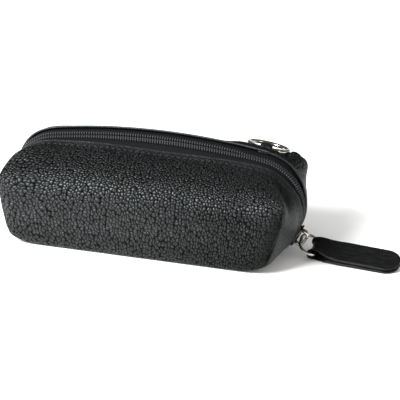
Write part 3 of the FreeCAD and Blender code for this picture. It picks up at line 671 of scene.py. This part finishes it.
def makeLeather(name, side):
    bm, layers, grids = startShell(leather["cells"], leather["rounds"], side)
    sculptLeather(bm, layers, side)
    if side > 0:
        pressRing(bm)
    bm.normal_update()
    for vert in bm.verts:
        values = [vert[layers[key]] for key in ("seam", "rise", "edge", "end")]
        vert[layers["grain"]] = grainShare(vert.co, *values)
        # painted shade for each place, read by the leather's colour and shine
        vert[layers["paintedShade"]] = paintedShadeShare(vert.co, *values)
    stitchLine = [(vert.co.copy(), vert.normal.copy()) for vert in rimRow(grids, leather["stitchStep"])]
    rim = rimRow(grids, 0)
    rows = [rim]
    for inwards, growth, paintedHighlight in leather["edgeRoll"]:
        row = []
        for vert in rim:
            outwards = Vector((vert.co.x - math.copysign(endX, vert.co.x), 0, vert.co.z - endZ))
            if abs(vert.co.x) < archHalf:
                outwards = Vector((vert.co.x, 0, vert.co.z - archZ))
            point = vert.co + outwards.normalized() * growth + Vector((0, inwards, 0))
            point.z = max(point.z, case["floorZ"])
            fresh = bm.verts.new(point)
            fresh[layers["grain"]] = leather["rollGrain"]
            # a painted highlight along the rolled edge: negative painted shade lightens its colour and raises
            # its shine
            fresh[layers["paintedShade"]] = -paintedHighlight
            fresh[layers["hide"]] = vert[layers["hide"]] - Vector((0, inwards, 0))
            row.append(fresh)
        rows.append(row)
    weave(bm, rows)
    faceOut(bm)
    if side > 0:
        mirror(bm)
    return makePiece(bm, name, pebbledLeather), stitchLine


def makeStitches(name, line, side):
    # thread along the leather's edge, laid at an even pitch
    bm = bmesh.new()
    walked = 0.0
    due = 0.0
    for (start, up), (finish, _) in zip(line, line[1:]):
        step = finish - start
        walked += step.length
        if walked < due:
            continue
        due += leather["stitchPitch"]
        if start.z < leather["stitchFoot"]:
            continue
        along = step.normalized()
        out = up.normalized()
        turn = Matrix((along, out.cross(along), out)).transposed()
        place = start + out * leather["stitchLift"]
        addBead(bm, place, leather["stitchSize"], turn, leather["stitchBoxy"])
    bmesh.ops.scale(bm, vec=(1, -side, 1), verts=bm.verts)
    faceOut(bm)
    return makePiece(bm, name, thread)


def followFront(piece):
    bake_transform(piece)


frontLeather, frontLine = makeLeather("front_leather", -1)
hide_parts("front_panel")
followFront(frontLeather)
rearLeather, rearLine = makeLeather("rear_leather", 1)
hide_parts("rear_panel")
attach(rearLeather, "base")
frontStitches = makeStitches("front_stitches", frontLine, -1)
followFront(frontStitches)
rearStitches = makeStitches("rear_stitches", rearLine, 1)
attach(rearStitches, "base")
print("leather shells made")

# Lining: the same shell, coarser and moved inwards
lining = {
    "cells": {"across": 88, "wall": 24, "roof": 18, "under": 4}, "rounds": 8, "inset": 2.6, "lowest": 2.0,
}


def makeLining(name, side):
    bm = startShell(lining["cells"], lining["rounds"], side)[0]
    moves = [vert.normal * -lining["inset"] for vert in bm.verts]
    for vert, move in zip(bm.verts, moves):
        vert.co += move
        vert.co.z = max(vert.co.z, lining["lowest"])
    if side > 0:
        mirror(bm)
    piece = makePiece(bm, name, liningCloth)
    return piece


frontLining = makeLining("front_cloth", -1)
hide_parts("front_lining")
followFront(frontLining)
rearLining = makeLining("rear_cloth", 1)
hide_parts("rear_lining")
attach(rearLining, "base")
print("linings made")

# Base: a leather plate under the case and the cloth on its inside
base = {
    "leather": {"half": (67.0, 28.0), "low": 0.0, "high": 0.9, "corner": 9.0},
    "cloth": {"half": (72.0, 31.4), "low": 2.9, "high": 3.5, "corner": 4.0}, "grain": 0.8,
}


def makePlate(name, plate, material):
    bm = bmesh.new()
    bmesh.ops.create_grid(bm, x_segments=60, y_segments=24, size=1.0)
    halfX, halfY = plate["half"]
    corner = plate["corner"]
    for vert in bm.verts:
        x, y = vert.co.x * halfX, vert.co.y * halfY
        past = Vector((max(abs(x) - halfX + corner, 0), max(abs(y) - halfY + corner, 0)))
        if past.x > 0 and past.y > 0:
            past *= max(past) / past.length
            x = math.copysign(halfX - corner + past.x, x)
            y = math.copysign(halfY - corner + past.y, y)
        vert.co = Vector((x, y, plate["low"]))
    made = bmesh.ops.extrude_face_region(bm, geom=bm.faces[:])
    raised = [item for item in made["geom"] if isinstance(item, bmesh.types.BMVert)]
    bmesh.ops.translate(bm, vec=(0, 0, plate["high"] - plate["low"]), verts=raised)
    grain = bm.verts.layers.float.new("grain")
    hide = bm.verts.layers.float_vector.new("hide")
    for vert in bm.verts:
        vert[grain] = base["grain"]
        vert[hide] = vert.co
    faceOut(bm)
    return makePiece(bm, name, material, smooth=False)


baseLeather = makePlate("base_leather", base["leather"], pebbledLeather)
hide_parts("base_panel")
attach(baseLeather, "base")
baseCloth = makePlate("base_cloth", base["cloth"], liningCloth)
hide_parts("base_lining")
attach(baseCloth, "base")

# Stiffeners inside both walls, leaning with the wall's slope
board = {"halfLow": 68.0, "halfHigh": 72.0, "low": 7.0, "high": 25.0, "inside": 1.7, "thickness": 0.5}


def makeBoard(name, side):
    bm = bmesh.new()
    rows = []
    for number in range(25):
        share = number / 24
        z = mix(board["low"], board["high"], share)
        y = mix(case["footY"], case["creaseY"], z / case["creaseZ"]) - board["inside"]
        half = mix(board["halfLow"], board["halfHigh"], share)
        rows.append([bm.verts.new((mix(-half, half, step / 40), side * y, z)) for step in range(41)])
    weave(bm, rows)
    thicken(bm, board["thickness"])
    piece = makePiece(bm, name, greyBoard)
    return piece


frontBoard = makeBoard("front_stiffener", -1)
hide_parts("front_board")
followFront(frontBoard)
rearBoard = makeBoard("rear_stiffener", 1)
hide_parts("rear_board")
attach(rearBoard, "base")
paint("base_board", greyBoard)
print("base and boards made")

# Zip: woven tape beside two rows of nylon coil
zipper = {
    "topAngle": 16.2, "leftAngle": 50.0, "cellLength": 1.2, "thickness": 0.7,
    "profile": [(2.2, -0.5), (3.0, -0.25), (4.4, -0.35), (6.0, -0.75), (8.0, -1.15), (11.0, -1.9)],
    "wave": 0.18, "waveLength": 14.0, "waveFrom": (3.0, 6.0), "waveSeed": 5.0, "pitch": 1.5,
    "toothAlong": 0.48, "toothTall": 0.95, "toothOuter": 3.04, "toothInner": 0.02, "boxy": 0.42,
    "postRoom": 0.18, "postFrom": (62.0, 70.0), "backing": -1.1, "backingThick": 0.15,
    "backingReach": {-1: 0.6, 1: -0.5},
}
runStart = -lengthAt(zipper["leftAngle"])
runEnd = lengthAt(zipper["topAngle"])


def makeTape(name, side):
    bm = bmesh.new()
    count = int((runEnd - runStart) / zipper["cellLength"])
    rows = []
    for y, growth in zipper["profile"]:
        row = []
        for number in range(count + 1):
            length = mix(runStart, runEnd, number / count)
            spot = Vector((length / zipper["waveLength"], y, side * zipper["waveSeed"]))
            wave = zipper["wave"] * noise.noise(spot) * ease(*zipper["waveFrom"], y)
            row.append(bm.verts.new(onRun(length, growth + wave, side * y)))
        rows.append(row)
    weave(bm, rows)
    thicken(bm, zipper["thickness"])
    piece = makePiece(bm, name, zipCloth)
    return piece


def innerEdge(usual, length):
    # both rows leave room for the slider's post where it runs
    return mix(usual, zipper["postRoom"], ease(*zipper["postFrom"], length))


def makeCoil(name, side, phase):
    # one rounded loop for each tooth, on a narrow backing that closes the gaps between them
    bm = bmesh.new()
    count = int((runEnd - runStart) / zipper["pitch"])
    for number in range(count):
        length = runStart + (number + phase) * zipper["pitch"]
        inner = innerEdge(zipper["toothInner"], length)
        sizes = (zipper["toothAlong"], (zipper["toothOuter"] - inner) / 2, zipper["toothTall"])
        here = onRun(length, 0.0, side * (zipper["toothOuter"] + inner) / 2)
        along = (onRun(length + 0.1, 0.0, 0) - onRun(length - 0.1, 0.0, 0)).normalized()
        across = Vector((0, 1, 0))
        turn = Matrix((along, across, along.cross(across))).transposed()
        addBead(bm, here, sizes, turn, zipper["boxy"])
    beads = set(bm.faces)
    rows = []
    for number in range(count + 1):
        length = mix(runStart, runEnd, number / count)
        inner = innerEdge(zipper["backingReach"][side], length)
        acrosses = (inner, zipper["toothOuter"] / 2, zipper["toothOuter"])
        rows.append([bm.verts.new(onRun(length, zipper["backing"], side * y)) for y in acrosses])
    weave(bm, rows)
    faceOut(bm)
    strip = [face for face in bm.faces if face not in beads]
    bmesh.ops.solidify(bm, geom=strip, thickness=zipper["backingThick"])
    piece = makePiece(bm, name, coilNylon)
    return piece


frontTape = makeTape("front_tape", -1)
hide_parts("front_zip_tape")
followFront(frontTape)
rearTape = makeTape("rear_tape", 1)
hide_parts("rear_zip_tape")
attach(rearTape, "base")
frontCoil = makeCoil("front_coil", -1, 0.25)
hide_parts("front_zip_coil")
followFront(frontCoil)
rearCoil = makeCoil("rear_coil", 1, 0.75)
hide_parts("rear_zip_coil")
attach(rearCoil, "base")

# Fabric at the ends of the zip, slit where the slider's post passes
endCloth = {
    "half": 7.6, "slitHalf": 0.7, "slitFoot": 41.0, "foot": 55.5, "rightTop": 17.2, "leftTop": 50.5,
    "growth": -0.05, "fall": 0.1, "thick": 0.8,
}


def makeEndCloth(name, sign, top, foot, slitFoot):
    bm = bmesh.new()
    count = max(int((foot - top) * 2), 4)
    for side in (-1, 1):
        rows = []
        for number in range(count + 1):
            angle = mix(top, foot, number / count)
            inner = endCloth["slitHalf"] * ease(0, 1, slitFoot - angle)
            row = []
            for step in range(9):
                y = mix(inner, endCloth["half"], step / 8)
                growth = endCloth["growth"] - endCloth["fall"] * y
                row.append(bm.verts.new(onRun(sign * lengthAt(angle), growth, side * y)))
            rows.append(row)
        weave(bm, rows)
    bmesh.ops.remove_doubles(bm, verts=bm.verts, dist=0.01)
    thicken(bm, endCloth["thick"])
    piece = makePiece(bm, name, zipCloth)
    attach(piece, "base")
    return piece


rightEnd = makeEndCloth("right_end_cloth", 1, endCloth["rightTop"], endCloth["foot"], endCloth["slitFoot"])
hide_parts("right_end_tab")
leftEnd = makeEndCloth("left_end_cloth", -1, endCloth["leftTop"], endCloth["foot"], 0.0)
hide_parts("left_end_tab")
for node in ("zip_top_stops", "zip_bottom_stop", "pull_ring", "hang_ring"):
    paint(node, nickel)
print("zip made")

# Slider: two curved plates with side flanges and a post, and the bridge that holds the pull ring
slider = {
    "angle": 29.0, "half": 6.1, "tailEnd": 2.52, "mouthEnd": 3.76, "topLow": 31.05, "topHigh": 32.05,
    "underLow": 26.95, "underHigh": 27.95, "plateSoft": 0.22, "flangeLow": 29.95, "flangeSoft": 0.12,
    "postHalf": 0.12, "postTail": 0.61, "postMouth": 5.49, "postSoft": 0.04, "sunk": 0.3,
    # corners of the plates' edge from tail to mouth: along, across, width of the flange there
    "edge": [(-4.88, 3.6, 0.45), (-1.22, 3.6, 0.45), (2.44, 4.7, 0.9), (5.185, 4.7, 0.9)],
    "bridgeHalf": 4.6, "bridgeFoot": 31.65, "bridgeTop": 36.95, "bridgeWall": 1.4, "bridgeBend": 2.8,
    # rows across the bridge, and how far each draws in at its edges
    "bridgeRows": [(-1.5, 0.25), (-1.23, 0.0), (1.23, 0.0), (1.5, 0.25)],
}


def onSlider(vert):
    # along the run downwards, across, and out from the end's centre
    turn = -math.radians(slider["angle"]) - vert.co.x / endRadius
    out = vert.co.z
    vert.co = Vector((endX + out * math.cos(turn), vert.co.y, endZ + out * math.sin(turn)))


def raisePlate(bm, outline, low, high, soft):
    # a flat plate from its outline, with softened edges
    start = len(bm.verts)
    face = bm.faces.new([bm.verts.new((along, across, low)) for along, across in outline])
    made = bmesh.ops.extrude_face_region(bm, geom=[face])
    top = [item for item in made["geom"] if isinstance(item, bmesh.types.BMVert)]
    bmesh.ops.translate(bm, vec=(0, 0, high - low), verts=top)
    bm.verts.ensure_lookup_table()
    fresh = set(bm.verts[start:])
    edges = [edge for edge in bm.edges if edge.verts[0] in fresh and edge.verts[1] in fresh]
    bmesh.ops.bevel(bm, geom=edges, offset=soft, segments=2, profile=0.5, affect="EDGES", material=-1)


def makeSlider():
    bm = bmesh.new()
    half, post = slider["half"], slider["postHalf"]
    right = [(along, across) for along, across, flange in slider["edge"]]
    right = [(-half, slider["tailEnd"])] + right + [(half, slider["mouthEnd"])]
    outline = right + [(along, -across) for along, across in reversed(right)]
    for plate in ("top", "under"):
        raisePlate(bm, outline, slider[plate + "Low"], slider[plate + "High"], slider["plateSoft"])
    top = slider["topLow"] + slider["sunk"]
    for side in (-1, 1):
        wing = [(along, side * across) for along, across, flange in slider["edge"]]
        wing += [(along, side * (across - flange)) for along, across, flange in reversed(slider["edge"])]
        raisePlate(bm, wing, slider["flangeLow"], top, slider["flangeSoft"])
    tail, mouth = slider["postTail"], slider["postMouth"]
    corners = [(tail, -post), (mouth, -post), (mouth, post), (tail, post)]
    raisePlate(bm, corners, slider["underHigh"] - slider["sunk"], top, slider["postSoft"])
    for vert in bm.verts:
        onSlider(vert)
    faceOut(bm)
    return makePiece(bm, "slider_shell", darkNickel)


def makeBridge():
    # a flat strip bent into an arch with round shoulders
    bm = bmesh.new()

    def arch(half, top, bend):
        foot = slider["bridgeFoot"]
        turns = [math.radians(15 * number) for number in range(7)]
        right = [(half - bend + bend * math.cos(turn), top - bend + bend * math.sin(turn)) for turn in turns]
        left = [(-along, out) for along, out in reversed(right)]
        return [(half, foot)] + right + left + [(-half, foot)]

    wall = slider["bridgeWall"]
    outside = arch(slider["bridgeHalf"], slider["bridgeTop"], slider["bridgeBend"])
    inside = arch(slider["bridgeHalf"] - wall, slider["bridgeTop"] - wall, slider["bridgeBend"] - wall)
    pairs = list(zip(outside, inside))
    rows = []
    for y, shrink in slider["bridgeRows"]:
        outer = [bm.verts.new((mix(a[0], b[0], shrink), y, mix(a[1], b[1], shrink))) for a, b in pairs]
        inner = [bm.verts.new((mix(b[0], a[0], shrink), y, mix(b[1], a[1], shrink))) for a, b in pairs]
        rows.append(outer + inner[::-1] + outer[:1])
    weave(bm, rows)
    count = len(outside)
    for row in (rows[0], rows[-1]):
        weave(bm, [row[:count], row[count:2 * count][::-1]])
    for vert in bm.verts:
        onSlider(vert)
    faceOut(bm)
    return makePiece(bm, "slider_arch", nickel)


sliderShell = makeSlider()
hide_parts("slider_body")
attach(sliderShell, "slider")
sliderArch = makeBridge()
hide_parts("slider_bridge")
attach(sliderArch, "slider")
print("slider made")

# Pull tab: one strap folded round the ring, its two layers lying on each other behind the fold
pull = {
    "lean": 13.0, "yaw": -5.0, "length": 49.5, "half": 9.5, "neckHalf": 6.2, "layer": 1.55, "tunnel": 2.1,
    "closeAt": 13.0, "ringRadius": 5.8, "ringSide": 5.0, "tip": 9.0, "apart": 0.4, "flare": 0.5,
    "neckFrom": (-2.0, 15.0), "thinnest": 0.05, "edgeSoft": 0.45, "edgeReach": 0.9, "cells": 60, "across": 24,
}


def pullHalf(x):
    # half width along the strap, with a round tip
    half = mix(pull["neckHalf"], pull["half"], ease(*pull["neckFrom"], x))
    past = x - (pull["length"] - pull["tip"])
    if past > 0:
        half *= math.sqrt(max(1 - (past / pull["tip"]) ** 2, 0.0))
    return half


def pullGap(x):
    # half the room between the layers
    return mix(pull["tunnel"], pull["apart"], ease(0.0, pull["closeAt"], x))


def pullProfile():
    # places along the strap with their outward directions: lower layer, fold, upper layer
    lengths = [pull["length"] * (1 - number / pull["cells"]) for number in range(pull["cells"] + 1)]
    profile = [(x, -pullGap(x), Vector((0, 0, -1))) for x in lengths]
    for number in range(1, 12):
        turn = math.pi / 2 + math.pi * number / 12
        out = Vector((math.cos(turn), 0, -math.sin(turn)))
        profile.append((pull["tunnel"] * math.cos(turn), -pull["tunnel"] * math.sin(turn), out))
    return profile + [(x, pullGap(x), Vector((0, 0, 1))) for x in reversed(lengths)]


def makePull():
    bm = bmesh.new()
    inside, outside = [], []
    neckPast = pull["neckHalf"] - pull["ringSide"] / 2
    for x, z, out in pullProfile():
        half = max(pullHalf(x), pull["thinnest"])
        follow = 1 - ease(0.0, pull["closeAt"], x)
        inner, outer = [], []
        for step in range(pull["across"] + 1):
            across = 2 * step / pull["across"] - 1
            y = across * half
            past = max(abs(y) - pull["ringSide"] / 2, 0.0)
            sag = pull["ringRadius"] - math.sqrt(max(pull["ringRadius"] ** 2 - past**2, 1.0))
            wide = 1 + pull["flare"] * follow * (past / neckPast) ** 2
            place = Vector((min(x, 0.0) * wide + max(x, 0.0) - sag * follow, y, z * wide))
            soft = pull["edgeSoft"] * (1 - ease(0.0, pull["edgeReach"], (1 - abs(across)) * half))
            inner.append(bm.verts.new(place + out * soft))
            outer.append(bm.verts.new(place + out * (pull["layer"] - soft)))
        inside.append(inner)
        outside.append(outer)
    weaveStrap(bm, inside, outside)
    bmesh.ops.remove_doubles(bm, verts=bm.verts, dist=0.02)
    faceOut(bm)
    place = Matrix.Translation(hinge("tab_swing")[0])
    turn = Matrix.Rotation(math.radians(pull["lean"]), 4, "X")
    turn @= Matrix.Rotation(math.radians(pull["yaw"]), 4, "Z")
    bmesh.ops.transform(bm, matrix=place @ turn, verts=bm.verts)
    for vert in bm.verts:
        vert.co.z = max(vert.co.z, case["floorZ"])
    return makePiece(bm, "pull_strap", strapLeather)


pullStrap = makePull()
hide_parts("pull_tab")
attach(pullStrap, "pull_tab")
print("pull made")

# Leather loop on the back: a strip curled round the ring's wire, with a tail towards the zip
loop = {"inside": 2.0, "thick": 1.3, "half": 3.4, "tail": 7.0, "slope": 25.5, "wrap": 330.0, "soft": 0.3}


def makeRingLoop():
    bm = bmesh.new()
    profile = [(-loop["tail"] * (1 - number / 8), -loop["inside"], Vector((0, 0, -1))) for number in range(8)]
    for number in range(29):
        turn = math.radians(-90 + loop["wrap"] * number / 28)
        out = Vector((0, math.cos(turn), math.sin(turn)))
        profile.append((loop["inside"] * math.cos(turn), loop["inside"] * math.sin(turn), out))
    inside, outside = [], []
    for y, z, out in profile:
        inner, outer = [], []
        for step in range(9):
            share = 2 * step / 8 - 1
            place = Vector((share * loop["half"], y, z))
            soft = loop["soft"] * abs(share) ** 8
            inner.append(bm.verts.new(place + out * soft))
            outer.append(bm.verts.new(place + out * (loop["thick"] - soft)))
        inside.append(inner)
        outside.append(outer)
    weaveStrap(bm, inside, outside)
    faceOut(bm)
    pivot, along = hinge("hang_ring_swing")
    fall = Matrix.Rotation(math.atan2(-along.z, along.x), 4, "Y")
    fall @= Matrix.Rotation(-math.radians(loop["slope"]), 4, "X")
    bmesh.ops.transform(bm, matrix=Matrix.Translation(pivot) @ fall, verts=bm.verts)
    return makePiece(bm, "ring_strap", strapLeather)


ringStrap = makeRingLoop()
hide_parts("ring_loop")
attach(ringStrap, "base")

# Pen loops: one elastic band sewn to the rear lining in two loops
elastic = {
    "inside": 6.2, "thick": 0.8, "half": 10.0, "foot": 5.4, "wallY": 31.0, "between": 0.8,
    "wrap": (2.0, 358.0),
}


def makePenLoops():
    bm = bmesh.new()
    middle = elastic["inside"] + elastic["thick"] / 2
    profile = []
    for number in range(2):
        centreZ = elastic["foot"] + middle + number * (2 * middle + elastic["between"] + elastic["thick"])
        for step in range(33):
            turn = math.radians(mix(*elastic["wrap"], step / 32))
            y = elastic["wallY"] - middle - middle * math.sin(turn)
            profile.append((y, centreZ - middle * math.cos(turn)))
    rows = [[bm.verts.new((s * elastic["half"], y, z)) for s in (-1, -0.5, 0, 0.5, 1)] for y, z in profile]
    weave(bm, rows)
    thicken(bm, elastic["thick"])
    return makePiece(bm, "pen_elastic", elasticCloth)


penElastic = makePenLoops()
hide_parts("pen_loops")
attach(penElastic, "base")
print("loops made")


# Studio: pale floor, soft lights and the photograph's view
def addArea(name, place, target, size, power, tint):
    light = bpy.data.lights.new(name, "AREA")
    light.shape = "RECTANGLE"
    light.size, light.size_y = size
    light.energy = power
    light.color = linear(tint)[:3]
    lamp = bpy.data.objects.new(name, light)
    lamp.location = place
    lamp.rotation_euler = (Vector(target) - Vector(place)).to_track_quat("-Z", "Y").to_euler()
    bpy.context.scene.collection.objects.link(lamp)


def makeFloor():
    bm = bmesh.new()
    bmesh.ops.create_grid(bm, x_segments=1, y_segments=1, size=4000.0)
    material = startMaterial("paleStudioFloor", {"Base Color": linear("#f4f4f4"), "Roughness": 0.9})[0]
    floor = makePiece(bm, "floor", material)


def makeWorld():
    world = bpy.data.worlds.new("studio")
    world.use_nodes = True
    tree = world.node_tree
    ground = tree.nodes["Background"]
    ground.inputs["Color"].default_value = linear("#ffffff")
    glossy = addNode(tree, "LightPath", {}, {}).outputs["Is Glossy Ray"]
    strength = addNode(tree, "MapRange", {"To Min": 0.8, "To Max": 0.12}, {"Value": glossy})
    joinUp(tree, ground, {"Strength": strength})
    bpy.context.scene.world = world


def makeCamera():
    view = {
        "turn": 13.95, "height": 22.73, "roll": 1.64, "distance": 1.05458, "aimZ": 0.033, "lens": 159.45,
        "aside": 0.02472, "above": -0.0086,
    }
    turn, height, roll = [math.radians(view[name]) for name in ("turn", "height", "roll")]
    right = Vector((math.cos(turn), math.sin(turn), 0))
    up = Vector((-math.sin(turn) * math.sin(height), math.cos(turn) * math.sin(height), math.cos(height)))
    back = right.cross(up)
    place = Vector((0, 0, view["aimZ"])) + back * view["distance"]
    forward = (-back + right * view["aside"] + up * view["above"]).normalized()
    rolledRight = right * math.cos(roll) + up * math.sin(roll)
    sight = (rolledRight - forward * rolledRight.dot(forward)).normalized()
    data = bpy.data.cameras.new("camera")
    data.lens = view["lens"]
    data.sensor_width = 36.0
    data.clip_end = 50.0
    camera = bpy.data.objects.new("camera", data)
    facing = Matrix((sight, (-forward).cross(sight), -forward)).transposed().to_4x4()
    camera.matrix_world = Matrix.Translation(place) @ facing
    bpy.context.scene.collection.objects.link(camera)
    bpy.context.scene.camera = camera


makeFloor()
makeWorld()
addArea("keyLight", (-0.46, -0.55, 0.60), (-0.05, 0, 0.03), (0.42, 0.34), 22.0, "#ffffff")
addArea("sideLight", (0.9, -0.25, 0.35), (0.08, 0, 0.03), (0.3, 0.4), 1.0, "#fff4e4")
makeCamera()
bpy.context.scene.view_settings.view_transform = "Standard"
print("studio made")
